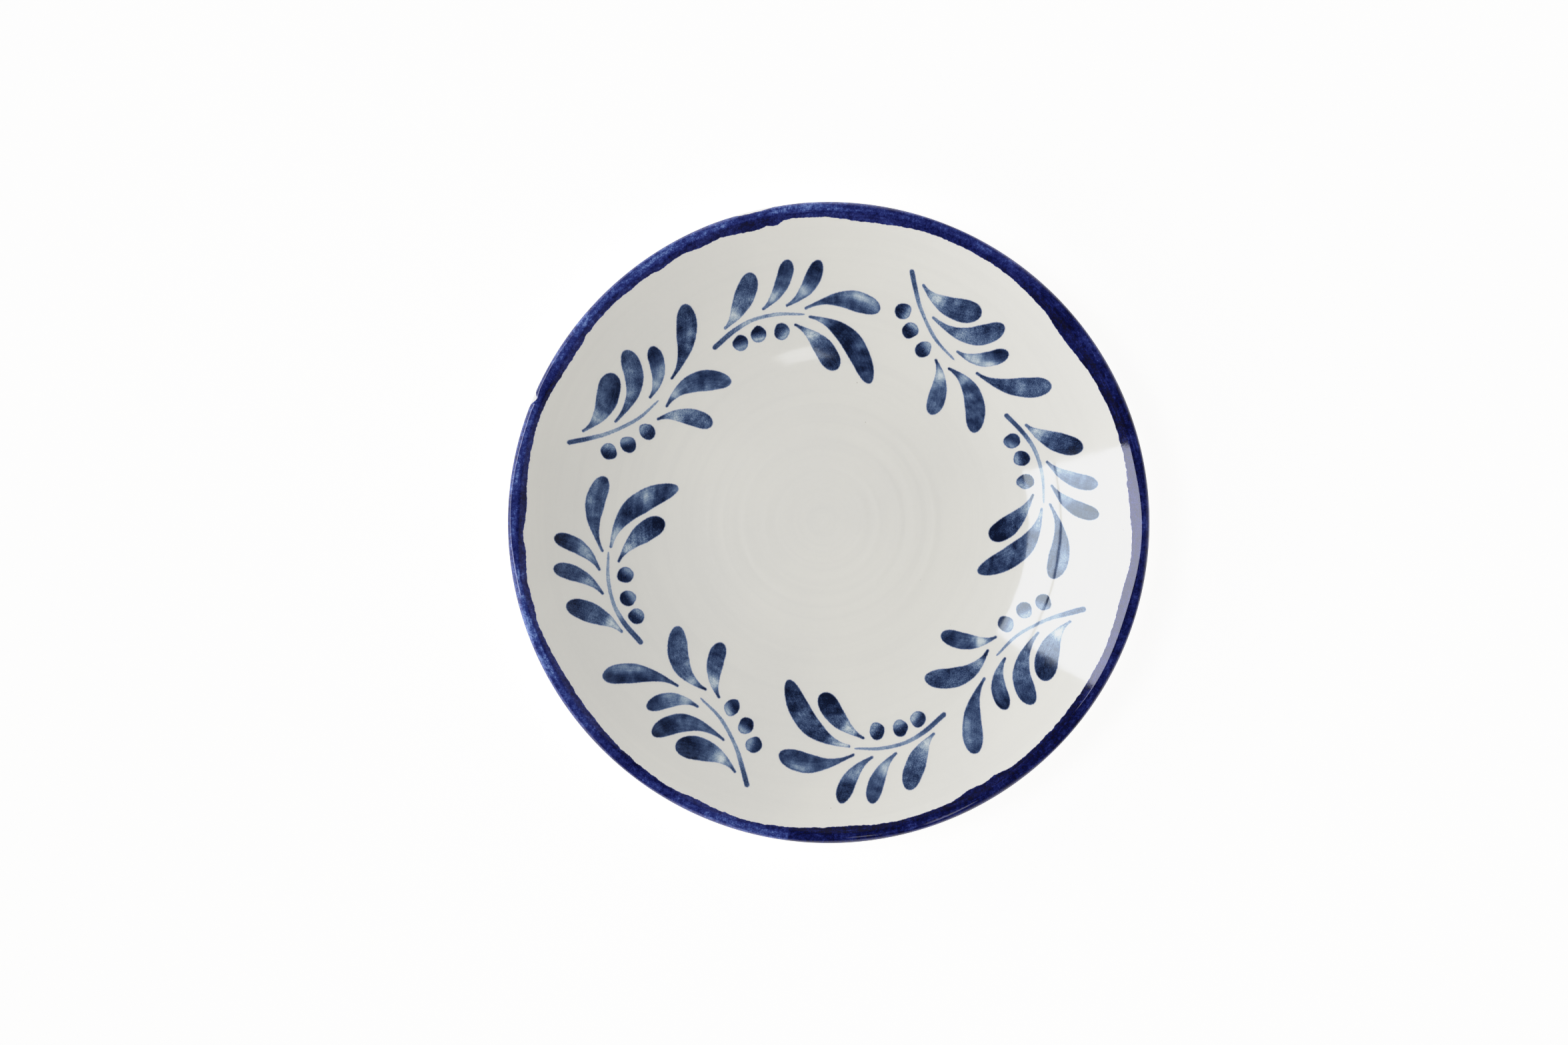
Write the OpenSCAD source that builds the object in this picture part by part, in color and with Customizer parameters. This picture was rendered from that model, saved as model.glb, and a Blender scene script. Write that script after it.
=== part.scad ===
// Hand painted dinner plate, coupe shape, with a cobalt rim and a ring of
// eight leaf sprigs.
// The plate stands on the plane z = 0 with its axis on Z. The clay comes first,
// then the white glaze over it, then the painted colour on the glaze.
// Every layer is its own solid and meets the next one face to face.

/* [Plate] */
// Diameter across the outside of the painted lip
plate_d = 280; // [264:2:300]
// Height from the table to the top of the lip
plate_h = 27; // [24:0.5:32]
// Diameter of the flat middle of the well
flat_d = 100; // [80:2:110]
// Diameter of the flat middle of the underside
under_flat_d = 112; // [90:2:124]
// Thickness of the clay at the middle of the floor
floor_t = 4.7; // [3.5:0.1:6]
// Thickness of the clay at the rolled lip
lip_t = 4.8; // [3.8:0.1:5.6]

/* [Foot ring] */
// Outer diameter of the foot ring
foot_d = 158; // [144:2:170]
// Width of the foot ring where it leaves the body
foot_w = 6; // [4.5:0.5:8]
// Height of the underside above the table
foot_h = 3; // [2.5:0.1:3.6]
// Size of the chamfer on both edges of the foot
foot_chamfer = 0.8; // [0.4:0.1:1.2]

/* [Glaze and paint] */
// Thickness of the white glaze
glaze_t = 0.3; // [0.2:0.05:0.4]
// Thickness of the painted colour
paint_t = 0.2; // [0.1:0.05:0.3]
// Width of the cobalt band on the face of the plate
band_w = 7; // [5:0.5:10]
// How far the band wraps below the widest line of the lip, in degrees
band_wrap = 25; // [0:5:30]

/* [Sprigs] */
// Angle of the first sprig, from +X
first_sprig = 98; // [80:1:110]
// Size of the painted sprigs against their full size
sprig_scale = 1; // [0.9:0.01:1.02]
// Width of a leaf against its full width
leaf_fullness = 1; // [0.7:0.05:1.05]
// Radius of a berry
berry_r = 3.5; // [2.6:0.1:3.8]
// Width of a stem at its base
stem_base = 2.2; // [1.4:0.1:2.6]
// Width of a stem at its tip
stem_tip = 1; // [0.6:0.1:1.4]

/* [Hidden] */
$fn = 96;

// Colours of the layers
clay_c = [0.86, 0.83, 0.77];
foot_c = [0.82, 0.78, 0.70];
white_c = [0.88, 0.87, 0.84];
cobalt_c = [0.10, 0.13, 0.46];
leaf_c = [0.16, 0.26, 0.42];
stem_c = [0.25, 0.38, 0.54];
berry_c = [0.20, 0.31, 0.48];

// The lip is a circle of clay: its centre and its radius
lip_r = lip_t / 2;
lip_x = plate_d / 2 - lip_r - glaze_t - paint_t;
lip_z = plate_h - lip_r - glaze_t - paint_t;

// The face is flat out to flat_r, then one arc that runs into the lip circle.
// face_rho is the radius of the one arc that touches both.
flat_r = flat_d / 2;
face_z = foot_h + floor_t;
face_run = lip_x - flat_r;
face_rise = lip_z - face_z;
face_rho = (face_run * face_run + face_rise * face_rise - lip_r * lip_r) / (2 * (face_rise + lip_r));
face_end = asin(face_run / (face_rho + lip_r));

// The underside is the same, with its own flat and its own arc.
under_r = under_flat_d / 2;
under_run = lip_x - under_r;
under_rise = lip_z - foot_h;
under_rho = (under_run * under_run + under_rise * under_rise - lip_r * lip_r) / (2 * (under_rise - lip_r));
under_end = asin(under_run / (under_rho - lip_r));

// The band starts at this angle of the face arc
band_start = asin((plate_d / 2 - band_w - flat_r) / face_rho);

// Radii of the two sides of the foot
foot_out = foot_d / 2;
foot_in = foot_out - foot_w;

// Points of the face from the axis to the band, d above the clay
function face_pts(d) = concat(
    [[0, face_z + d]],
    [for (i = [0:12]) let (a = band_start * i / 12) face_pt(a, d)]);
function face_pt(a, d) = [flat_r + (face_rho - d) * sin(a), face_z + face_rho - (face_rho - d) * cos(a)];
// Points of the face under the band
function band_pts(d) = [for (i = [0:2]) face_pt(band_start + (face_end - band_start) * i / 2, d)];
// Points round the lip, from where the face ends to an angle past the widest line
function lip_pts(d, from, to, n) =
    [for (i = [0:n]) let (a = from + (to - from) * i / n)
        [lip_x + (lip_r + d) * cos(a), lip_z + (lip_r + d) * sin(a)]];
// Height of the underside at a radius, d outside the clay
function under_z(r, d) = r <= under_r ? foot_h - d
    : foot_h + under_rho - sqrt((under_rho + d) * (under_rho + d) - (r - under_r) * (r - under_r));
// Points of the underside between two radii, d outside the clay
function under_pts(d, from, to, n) =
    [for (i = [0:n]) let (r = from + (to - from) * i / n) [r, under_z(r, d)]];
// Where the underside arc runs into the lip, d outside the clay
function under_lip_r(d) = under_r + (under_rho + d) * sin(under_end);

function rev(v) = [for (i = [len(v) - 1:-1:0]) v[i]];

// The clay's own outline, from the middle of the face round to the middle of the underside
function outer_under(d) = under_pts(d, under_lip_r(d), foot_out, 8);
function foot_under(d) = under_pts(d, foot_out, foot_in, 1);
function inner_under(d) = concat(under_pts(d, foot_in, under_r, 3), [[0, foot_h - d]]);
face_a = 90 + face_end;
under_a = -90 + under_end;
wrap_a = -band_wrap;
glaze_a = -35;

// ---------- clay ----------

module clay_body() {
    color(clay_c)
    rotate_extrude()
    polygon(concat(face_pts(0), band_pts(0),
                   lip_pts(0, face_a, wrap_a, 12), lip_pts(0, wrap_a, glaze_a, 1), lip_pts(0, glaze_a, under_a, 4),
                   outer_under(0), foot_under(0), inner_under(0)));
}

module foot_ring() {
    color(foot_c)
    rotate_extrude()
    polygon(concat(foot_under(0),
                   [[foot_in, foot_chamfer], [foot_in + foot_chamfer, 0],
                    [foot_out - foot_chamfer, 0], [foot_out, foot_chamfer]]));
}

// ---------- glaze ----------

// A skin between two lines that share their sections
module skin(inner, outer) {
    rotate_extrude() polygon(concat(outer, rev(inner)));
}

function face_line(d) = concat(face_pts(d), band_pts(d), lip_pts(d, face_a, wrap_a, 12), lip_pts(d, wrap_a, glaze_a, 1));
function back_line(d) = concat(lip_pts(d, glaze_a, under_a, 4), outer_under(d));

module face_glaze() color(white_c) skin(face_line(0), face_line(glaze_t));
module back_glaze() color(white_c) skin(back_line(0), back_line(glaze_t));
module foot_well_glaze() color(white_c) skin(inner_under(0), inner_under(glaze_t));

// ---------- painted colour ----------

function band_line(d) = concat(band_pts(d), lip_pts(d, face_a, wrap_a, 12));
module rim_band() color(cobalt_c) skin(band_line(glaze_t), band_line(glaze_t + paint_t));

// The thin layer of colour that every painted mark is cut from
module paint_layer() {
    rotate_extrude()
    polygon(concat([for (i = [1:13]) face_pts(glaze_t + paint_t)[i]],
                   rev([for (i = [1:13]) face_pts(glaze_t)[i]])));
}

// A brush stroke runs along a curve from its root, through a pull point, to its tip
function along(p, t) = (1 - t) * (1 - t) * p[0] + 2 * t * (1 - t) * p[1] + t * t * p[2];
function heading(p, t) = let (v = 2 * (1 - t) * (p[1] - p[0]) + 2 * t * (p[2] - p[1])) v / norm(v);
function beside(p, t, w) = let (h = heading(p, t)) along(p, t) + w * [-h[1], h[0]];

// A leaf is thin at the root, swells, and ends round. full is where it is widest.
full = 0.7;
leaf_t = [0, 0.14, 0.28, 0.42, 0.56, 0.7, 0.84, 0.94, 1];
function swell(t) = t < full ? 0.12 + 0.88 * pow(sin(90 * t / full), 1.4)
                             : sqrt(max(0.04, 1 - pow((t - full) / (1 - full), 2.2)));
function leaf_pts(l) = let (p = [l[0], l[1], l[2]], w = l[3] / 2 * leaf_fullness) concat(
    [for (t = leaf_t) beside(p, t, w * swell(t))],
    rev([for (t = leaf_t) beside(p, t, -w * swell(t))]));
// A stem thins evenly from base to tip
function stem_pts(p) = concat(
    [for (i = [0:7]) beside(p, i / 7, (stem_base + (stem_tip - stem_base) * min(1, i / 4)) / 2)],
    [for (i = [7:-1:0]) beside(p, i / 7, -(stem_base + (stem_tip - stem_base) * min(1, i / 4)) / 2)]);

// Two sprigs alternate round the plate. In each, y is the distance from the
// plate's axis and x runs clockwise. A leaf is [root, pull, tip, width].
leaves_a = [
    [[-33, 98], [-25, 104], [-18, 120.5], 9],
    [[-15, 104.5], [-5.5, 110], [-1.5, 124], 7],
    [[-4.5, 104.5], [6.5, 109], [12, 122.5], 7],
    [[3.5, 102.5], [21, 108.5], [35.5, 97], 9],
    [[4.5, 98.5], [24, 92.5], [27, 66], 9.5],
    [[-2, 96], [9, 88.5], [13, 74], 9]];
stem_a = [[-38.5, 90.5], [-22, 105.5], [2.5, 100]];
berries_a = [[-27, 91], [-18.5, 94], [-8.5, 93.5]];

leaves_b = [
    [[-33, 111.5], [-20.5, 107.5], [-5.5, 118.5], 10],
    [[-20.5, 103.5], [0.5, 103], [5.5, 120.5], 8.5],
    [[-2.5, 99], [8.5, 100], [14.5, 113], 7],
    [[10, 97], [25, 98], [38.5, 113.5], 9],
    [[-1, 91], [16, 94], [25, 76], 9],
    [[-8, 90], [2, 85.5], [5.5, 70.5], 7.5]];
stem_b = [[-40.5, 113], [-27.5, 99], [-1.5, 95.5]];
berries_b = [[-32.5, 97.5], [-25, 93], [-15, 90.5]];

// Each sprig is set down by eye, so it sits its own way along and out, and is
// turned by its own few degrees
slips = [[0, -8, 0.5], [3, -5, 2.5], [2.5, -5, -2], [4, -1, 0],
         [0, 0, 0], [0, 0, 0], [-2, -2.5, 1], [-0.5, -3.5, 3]];
size = sprig_scale * plate_d / 280;

// Turns a flat drawing of sprig i into thin solids on the face
module on_face(i, c) {
    color(c)
    intersection() {
        paint_layer();
        rotate([0, 0, first_sprig - 45 * (i - 1) - 90])
        linear_extrude(height = 2 * plate_h)
        scale([size, size])
        translate([slips[i - 1][0], slips[i - 1][1] + 100])
        rotate([0, 0, -slips[i - 1][2]])
        translate([0, -100])
        children();
    }
}
function odd(i) = i % 2 == 1;

module sprig_stem(i) on_face(i, stem_c) polygon(stem_pts(odd(i) ? stem_a : stem_b));
module sprig_leaves(i) on_face(i, leaf_c) for (l = odd(i) ? leaves_a : leaves_b) polygon(leaf_pts(l));
module sprig_berries(i) on_face(i, berry_c) for (b = odd(i) ? berries_a : berries_b) translate(b) circle(r = berry_r);

clay_body();
foot_ring();
face_glaze();
back_glaze();
foot_well_glaze();
rim_band();
sprig_stem(1);  // sprig_1_stem
sprig_leaves(1);  // sprig_1_leaves
sprig_berries(1);  // sprig_1_berries
sprig_stem(2);  // sprig_2_stem
sprig_leaves(2);  // sprig_2_leaves
sprig_berries(2);  // sprig_2_berries
sprig_stem(3);  // sprig_3_stem
sprig_leaves(3);  // sprig_3_leaves
sprig_berries(3);  // sprig_3_berries
sprig_stem(4);  // sprig_4_stem
sprig_leaves(4);  // sprig_4_leaves
sprig_berries(4);  // sprig_4_berries
sprig_stem(5);  // sprig_5_stem
sprig_leaves(5);  // sprig_5_leaves
sprig_berries(5);  // sprig_5_berries
sprig_stem(6);  // sprig_6_stem
sprig_leaves(6);  // sprig_6_leaves
sprig_berries(6);  // sprig_6_berries
sprig_stem(7);  // sprig_7_stem
sprig_leaves(7);  // sprig_7_leaves
sprig_berries(7);  // sprig_7_berries
sprig_stem(8);  // sprig_8_stem
sprig_leaves(8);  // sprig_8_leaves
sprig_berries(8);  // sprig_8_berries
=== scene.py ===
import math

import bpy
import numpy as np
from mathutils import Matrix, Vector


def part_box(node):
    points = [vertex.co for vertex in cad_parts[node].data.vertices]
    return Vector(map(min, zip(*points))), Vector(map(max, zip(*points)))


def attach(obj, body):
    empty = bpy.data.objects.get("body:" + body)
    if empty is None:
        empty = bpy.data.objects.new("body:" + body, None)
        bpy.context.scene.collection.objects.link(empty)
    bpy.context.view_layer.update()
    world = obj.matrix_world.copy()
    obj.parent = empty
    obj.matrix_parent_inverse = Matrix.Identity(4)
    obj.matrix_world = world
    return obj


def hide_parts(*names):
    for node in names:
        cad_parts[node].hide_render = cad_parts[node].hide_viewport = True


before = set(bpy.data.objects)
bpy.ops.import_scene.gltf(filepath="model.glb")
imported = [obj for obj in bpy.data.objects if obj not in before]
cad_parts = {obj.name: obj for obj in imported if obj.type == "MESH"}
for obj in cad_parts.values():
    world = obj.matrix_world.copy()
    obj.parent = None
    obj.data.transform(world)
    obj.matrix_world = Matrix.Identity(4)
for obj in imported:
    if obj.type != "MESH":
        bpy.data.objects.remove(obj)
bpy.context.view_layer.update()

MM = 0.001
TAU = 2 * math.pi

# ------------------------------------------------------------------ the plate's form, in millimetres
lo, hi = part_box("rim_band")
R_OUT = round((hi[0] - lo[0]) * 500, 1)  # half the width across the painted lip
TOP = round(hi[2] * 1000, 1)
lo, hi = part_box("foot_ring")
FOOT_OUT = round((hi[0] - lo[0]) * 500, 1)
FOOT_IN = FOOT_OUT - 6.0
GLAZE, PAINT, LIP_R = 0.3, 0.2, 2.4
LIP_X, LIP_Z = R_OUT - LIP_R - GLAZE - PAINT, TOP - LIP_R - GLAZE - PAINT
FLAT, FACE_Z = 50.0, 7.7
UFLAT, UNDER_Z = 56.0, 3.0

_run, _rise = LIP_X - FLAT, LIP_Z - FACE_Z
RHO = (_run**2 + _rise**2 - LIP_R**2) / (2 * (_rise + LIP_R))
A_END = math.asin(_run / (RHO + LIP_R))
_run, _rise = LIP_X - UFLAT, LIP_Z - UNDER_Z
URHO = (_run**2 + _rise**2 - LIP_R**2) / (2 * (_rise - LIP_R))
UA_END = math.asin(_run / (URHO - LIP_R))
S_END = RHO * A_END  # path length along the face arc, measured from where the flat ends


def smooth(a, b, x):
    t = np.clip((np.asarray(x, float) - a) / (b - a), 0, 1)
    return t * t * (3 - 2 * t)


def rim_wave(x, y, r):
    """The slow rise and fall of a rim that was thrown by hand. Nothing moves inside the foot."""
    p = np.arctan2(y, x)
    wave = 0.20 * np.cos(2 * p + 0.6) + 0.11 * np.cos(3 * p - 1.1) + 0.05 * np.cos(5 * p + 2.0)
    return wave * smooth(82, 138, r)


def sponged(x, y, z):
    """How far a wet sponge has worn down the crest of the lip. It is more in some places than in others.
    z is the height of the outside of the glaze, so that every layer underneath goes down by the same amount."""
    p = np.arctan2(y, x)
    q = 0.55 * np.cos(13 * (p + 0.035)) + 0.30 * np.cos(7 * p + 0.8) + 0.25 * np.cos(4 * p - 0.9)
    cap = TOP - 0.62 + 0.38 * q
    return -0.10 * np.log1p(np.exp(np.clip((z - cap) / 0.10, -30, 30)))


def glaze_z(co, d):
    """The height of the outside of the glaze over points that lie d above the clay"""
    r, z = np.hypot(co[:, 0], co[:, 1]), co[:, 2]
    on_lip = (z - LIP_Z) / np.maximum(np.hypot(r - LIP_X, z - LIP_Z), 1e-6)
    on_wall = np.sqrt(np.clip(1 - ((r - FLAT) / RHO) ** 2, 0, 1))
    return z + (GLAZE - d) * np.where(r > LIP_X - LIP_R * 0.4, on_lip, on_wall)


def throwing(x, y):
    """Faint rings that the potter's fingers left in the well, a little off the plate's own centre."""
    q = np.hypot(x + 2.3, y - 0.8)
    p = np.arctan2(y - 0.8, x + 2.3)
    q2 = q + 0.5 * np.sin(p + 0.7) + 0.25 * np.sin(2 * p + 2.1)
    k = smooth(9, 17, q) * (1 - smooth(46, 72, q))
    z = 0.032 * np.sin(TAU * q2 / 8.1 + 0.4) + 0.014 * np.sin(TAU * q2 / 5.0 + 1.9) + 0.006 * np.sin(TAU * q2 / 3.1)
    wall = smooth(84, 96, q) * (1 - smooth(118, 130, q))
    return k * z + wall * 0.010 * np.sin(TAU * q2 / 9.0)


def face_height(x, y, d=GLAZE):
    r = np.hypot(x, y)
    a = np.clip(r - FLAT, 0, None)
    base = np.where(r <= FLAT, FACE_Z + d, FACE_Z + RHO - np.sqrt(np.clip((RHO - d) ** 2 - a * a, 1, None)))
    return base + sponged(x, y, base) + rim_wave(x, y, r) + throwing(x, y)


def face_normal(x, y):
    h = 0.05
    gx = (face_height(x + h, y) - face_height(x - h, y)) / (2 * h)
    gy = (face_height(x, y + h) - face_height(x, y - h)) / (2 * h)
    n = np.stack([-gx, -gy, np.ones_like(gx)], -1)
    return n / np.linalg.norm(n, axis=-1, keepdims=True)


def profile(s, d):
    """Radius and height at path length s along the face arc and on round the lip, d above the clay."""
    s = np.asarray(s, float)
    a = np.clip(s, None, S_END) / RHO
    r1 = FLAT + (RHO - d) * np.sin(a)
    z1 = FACE_Z + RHO - (RHO - d) * np.cos(a)
    b = math.pi / 2 + A_END - (s - S_END) / (LIP_R + GLAZE)
    r2 = LIP_X + (LIP_R + d) * np.cos(b)
    z2 = LIP_Z + (LIP_R + d) * np.sin(b)
    on = s <= S_END
    return np.where(on, r1, r2), np.where(on, z1, z2)


def lip_s(deg):
    """Path length at which the lip's surface faces this many degrees above the horizontal."""
    return S_END + (math.pi / 2 + A_END - math.radians(deg)) * (LIP_R + GLAZE)


def under_profile(d, r0, r1, n):
    r = np.linspace(r0, r1, n)
    a = np.clip(r - UFLAT, 0, None)
    z = np.where(r <= UFLAT, UNDER_Z - d, UNDER_Z + URHO - np.sqrt((URHO + d) ** 2 - a * a))
    return list(zip(r, z))


def under_lip(d):
    return UFLAT + (URHO + d) * math.sin(UA_END)


# ------------------------------------------------------------------ meshes
def new_object(name, co, faces, smooth_shade=True):
    me = bpy.data.meshes.new(name)
    me.from_pydata([tuple(v) for v in (np.asarray(co) * MM)], [], faces)
    me.validate()
    me.update()
    ob = bpy.data.objects.new(name, me)
    bpy.context.scene.collection.objects.link(ob)
    if smooth_shade:
        me.polygons.foreach_set("use_smooth", [True] * len(me.polygons))
    return ob


def set_float(ob, name, values):
    at = ob.data.attributes.new(name, "FLOAT", "POINT")
    at.data.foreach_set("value", np.asarray(values, np.float32))


def set_uv(ob, uv):
    """uv is one pair per vertex"""
    me = ob.data
    layer = me.uv_layers.new(name="OFBake")
    idx = np.zeros(len(me.loops), np.int32)
    me.loops.foreach_get("vertex_index", idx)
    layer.data.foreach_set("uv", np.asarray(uv, np.float32)[idx].ravel())


def own_normals(ob, normals, which):
    """Sets the normals of the chosen vertices and keeps the mesh's own for the others."""
    me = ob.data
    n = np.zeros(len(me.vertices) * 3, np.float32)
    me.vertex_normals.foreach_get("vector", n)
    n = n.reshape(-1, 3)
    n[which] = normals[which]
    me.normals_split_custom_set_from_vertices([tuple(v) for v in n])


def revolve(name, loop, seg, move=None, split=None, uv_small=None):
    """A closed solid of revolution from a closed loop of (radius, height). Points on the axis become one vertex.
    The loop runs so that the faces look outwards: along the top from the axis outwards, then back underneath."""
    ang = np.arange(seg) * TAU / seg
    c, s = np.cos(ang), np.sin(ang)
    co, start, kind = [], [], []
    for r, z in loop:
        start.append(len(co))
        if r < 1e-6:
            kind.append(0)
            co.append((0.0, 0.0, z))
        else:
            kind.append(1)
            co.extend(zip(r * c, r * s, [z] * seg))
    co = np.array(co, float)
    faces = []
    n = len(loop)
    for i in range(n):
        j = (i + 1) % n
        a, b = start[i], start[j]
        if kind[i] and kind[j]:
            faces += [(a + k, b + k, b + (k + 1) % seg, a + (k + 1) % seg) for k in range(seg)]
        elif kind[j]:
            faces += [(a, b + k, b + (k + 1) % seg) for k in range(seg)]
        elif kind[i]:
            faces += [(a + k, b, a + (k + 1) % seg) for k in range(seg)]
    if move is not None:
        co[:, 2] += move(co)
    ob = new_object(name, co, faces)
    # the seen side fills the map, and the hidden side gets one small corner of it
    cut = start[split] if split is not None and split < n else len(co)
    rmax = max(r for r, z in loop)
    uv = 0.5 + co[:, :2] / rmax * 0.495
    uv[cut:] = 0.055 + co[cut:, :2] / rmax * 0.05
    set_uv(ob, uv)
    return ob, co, cut


SEG = 512

# the rings of points along the face, close together where the throwing rings are
face_r = np.concatenate([np.linspace(0, FLAT, 56), FLAT + (RHO - GLAZE) * np.sin(np.linspace(0, A_END, 74)[1:])])


def face_loop(d, rs):
    a = np.clip(rs - FLAT, 0, None)
    z = np.where(rs <= FLAT, FACE_Z + d, FACE_Z + RHO - np.sqrt((RHO - d) ** 2 - a * a))
    return list(zip(rs, z))


def lip_loop(d, a0, a1, n):
    return [(LIP_X + (LIP_R + d) * math.cos(a), LIP_Z + (LIP_R + d) * math.sin(a)) for a in np.linspace(a0, a1, n)]


def rs_inner(d, n1, n2):
    return np.concatenate([np.linspace(0, FLAT, n1), FLAT + (RHO - d) * np.sin(np.linspace(0, A_END, n2)[1:])])


FACE_A = math.pi / 2 + A_END
UNDER_A = -math.pi / 2 + UA_END
GLAZE_A = math.radians(-35)


def move_face(co):
    r = np.hypot(co[:, 0], co[:, 1])
    d = np.where(np.arange(len(co)) < FACE_CUT, GLAZE, 0.01)
    return rim_wave(co[:, 0], co[:, 1], r) + throwing(co[:, 0], co[:, 1]) + sponged(co[:, 0], co[:, 1], glaze_z(co, d))


def move_all(co):
    r = np.hypot(co[:, 0], co[:, 1])
    return rim_wave(co[:, 0], co[:, 1], r) + sponged(co[:, 0], co[:, 1], glaze_z(co, 0.0))


# clay body: hidden under the glaze all over, and still the true shape
loop = (face_loop(0, rs_inner(0, 14, 30)) + lip_loop(0, FACE_A, UNDER_A, 26)[1:]
        + under_profile(0, under_lip(0), FOOT_OUT, 20)[1:] + under_profile(0, FOOT_OUT, FOOT_IN, 3)[1:]
        + under_profile(0, FOOT_IN, 0, 14)[1:])
clay, co, _ = revolve("clay_body_form", loop, 256, move_all)

# face glaze: over the face and round the lip
top = face_loop(GLAZE, face_r) + lip_loop(GLAZE, FACE_A, GLAZE_A, 20)[1:]
bottom = lip_loop(0.01, GLAZE_A, FACE_A, 12) + face_loop(0.01, rs_inner(0.01, 10, 24))[::-1][1:]
FACE_CUT = 1 + (len(top) - 1) * SEG
face, co, cut = revolve("face_glaze_form", top + bottom, SEG, move_face, split=len(top))
which = (np.arange(len(co)) < cut) & (np.hypot(co[:, 0], co[:, 1]) < 133.0)
own_normals(face, face_normal(co[:, 0], co[:, 1]), which)

# back glaze: the outside of the wall, with soft turning marks and a thicker roll where it stops at the foot
def turned(co):
    r = np.hypot(co[:, 0], co[:, 1])
    p = np.arctan2(co[:, 1], co[:, 0])
    q = r + 0.4 * np.sin(p + 1.0)
    k = smooth(84, 92, r) * (1 - smooth(126, 134, r))
    return move_all(co) + k * (0.05 * np.sin(TAU * q / 6.3) + 0.03 * np.sin(TAU * q / 3.7 + 1.0))


seen = lip_loop(GLAZE, GLAZE_A, UNDER_A, 8) + under_profile(GLAZE, under_lip(GLAZE), FOOT_OUT + 1.2, 64)[1:]
seen += [(FOOT_OUT + 0.7, under_profile(GLAZE, FOOT_OUT + 0.7, FOOT_OUT, 2)[0][1] - 0.10),
         (FOOT_OUT + 0.3, under_profile(GLAZE, FOOT_OUT + 0.3, FOOT_OUT, 2)[0][1] - 0.32),
         (FOOT_OUT + 0.08, under_profile(GLAZE, FOOT_OUT, FOOT_OUT - 1, 2)[0][1] - 0.62),
         (FOOT_OUT - 0.05, under_profile(GLAZE, FOOT_OUT, FOOT_OUT - 1, 2)[0][1] - 0.72)]
hidden = [(FOOT_OUT - 0.05, under_profile(0.01, FOOT_OUT, FOOT_OUT - 1, 2)[0][1])] + under_profile(0.01, FOOT_OUT, under_lip(0.01), 20)[1:] + lip_loop(0.01, UNDER_A, GLAZE_A, 5)[1:]
back, co, _ = revolve("back_glaze_form", seen + hidden, SEG, turned, split=len(seen))

# glaze inside the foot
def well_turned(co):
    r = np.hypot(co[:, 0], co[:, 1])
    p = np.arctan2(co[:, 1], co[:, 0])
    spiral = np.sin(TAU * (r / 9.0) - p)
    return 0.05 * spiral * smooth(4, 12, r) * (1 - smooth(60, 70, r))


seen = [(FOOT_IN + 0.04, UNDER_Z - 0.2), (FOOT_IN - 0.1, UNDER_Z - 0.0), (FOOT_IN - 0.5, UNDER_Z + 0.3), (FOOT_IN - 1.2, under_profile(GLAZE, FOOT_IN - 1.2, 0, 2)[0][1])]
seen += under_profile(GLAZE, FOOT_IN - 2.0, 0, 72)
hidden = under_profile(0.01, 0, FOOT_IN, 16)
hidden[-1] = (FOOT_IN + 0.04, hidden[-1][1])
well, co, _ = revolve("foot_well_glaze_form", seen + hidden, 256, well_turned, split=len(seen))

# foot ring: turned clay with worn, rounded edges
ztop_o = under_profile(0, FOOT_OUT, FOOT_OUT - 1, 2)[0][1]
ztop_i = under_profile(0, FOOT_IN, FOOT_IN - 1, 2)[0][1]
rr = 1.3
foot_pts = [(FOOT_OUT, z) for z in np.linspace(ztop_o + 0.02, rr, 10)]
foot_pts += [(FOOT_OUT - rr + rr * math.cos(a), rr - rr * math.sin(a)) for a in np.linspace(0, math.pi / 2, 9)[1:]]
foot_pts += [(r, 0.0) for r in np.linspace(FOOT_OUT - rr, FOOT_IN + rr, 8)[1:]]
foot_pts += [(FOOT_IN + rr - rr * math.sin(a), rr - rr * math.cos(a)) for a in np.linspace(0, math.pi / 2, 9)[1:]]
foot_pts += [(FOOT_IN, z) for z in np.linspace(rr, ztop_i + 0.02, 9)[1:]]
foot_pts += [(FOOT_IN + 3.0, (ztop_i + ztop_o) / 2 + 0.02)]


def foot_grit(co):
    p = np.arctan2(co[:, 1], co[:, 0])
    low = 1 - smooth(0.0, 2.5, co[:, 2])
    # only ever upwards, so the foot still stands on the table
    return low * (0.02 + 0.02 * np.sin(37 * p + 1.0) * np.sin(11 * p) + 0.01 * np.sin(91 * p)) * smooth(0.001, 0.5, co[:, 2])


foot, co, _ = revolve("foot_ring_form", foot_pts, 512, foot_grit)

# ------------------------------------------------------------------ rim band
BSEG = 1440
phi = np.arange(BSEG) * TAU / BSEG
deg = np.degrees(phi)


def bumps(table, width_unit=1.0):
    """Sum of listed soft bumps: (angle in degrees, half width in degrees, height in mm)"""
    v = np.zeros(BSEG)
    for a, w, h in table:
        d = (deg - a + 180) % 360 - 180
        v += h * np.exp(-((d / (w * width_unit)) ** 2))
    return v


def ripple(seed, waves, amp):
    rng = np.random.default_rng(seed)
    v = np.zeros(BSEG)
    for k in waves:
        v += rng.normal() * np.cos(k * phi + rng.uniform(0, TAU)) / math.sqrt(len(waves))
    return v * amp


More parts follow.
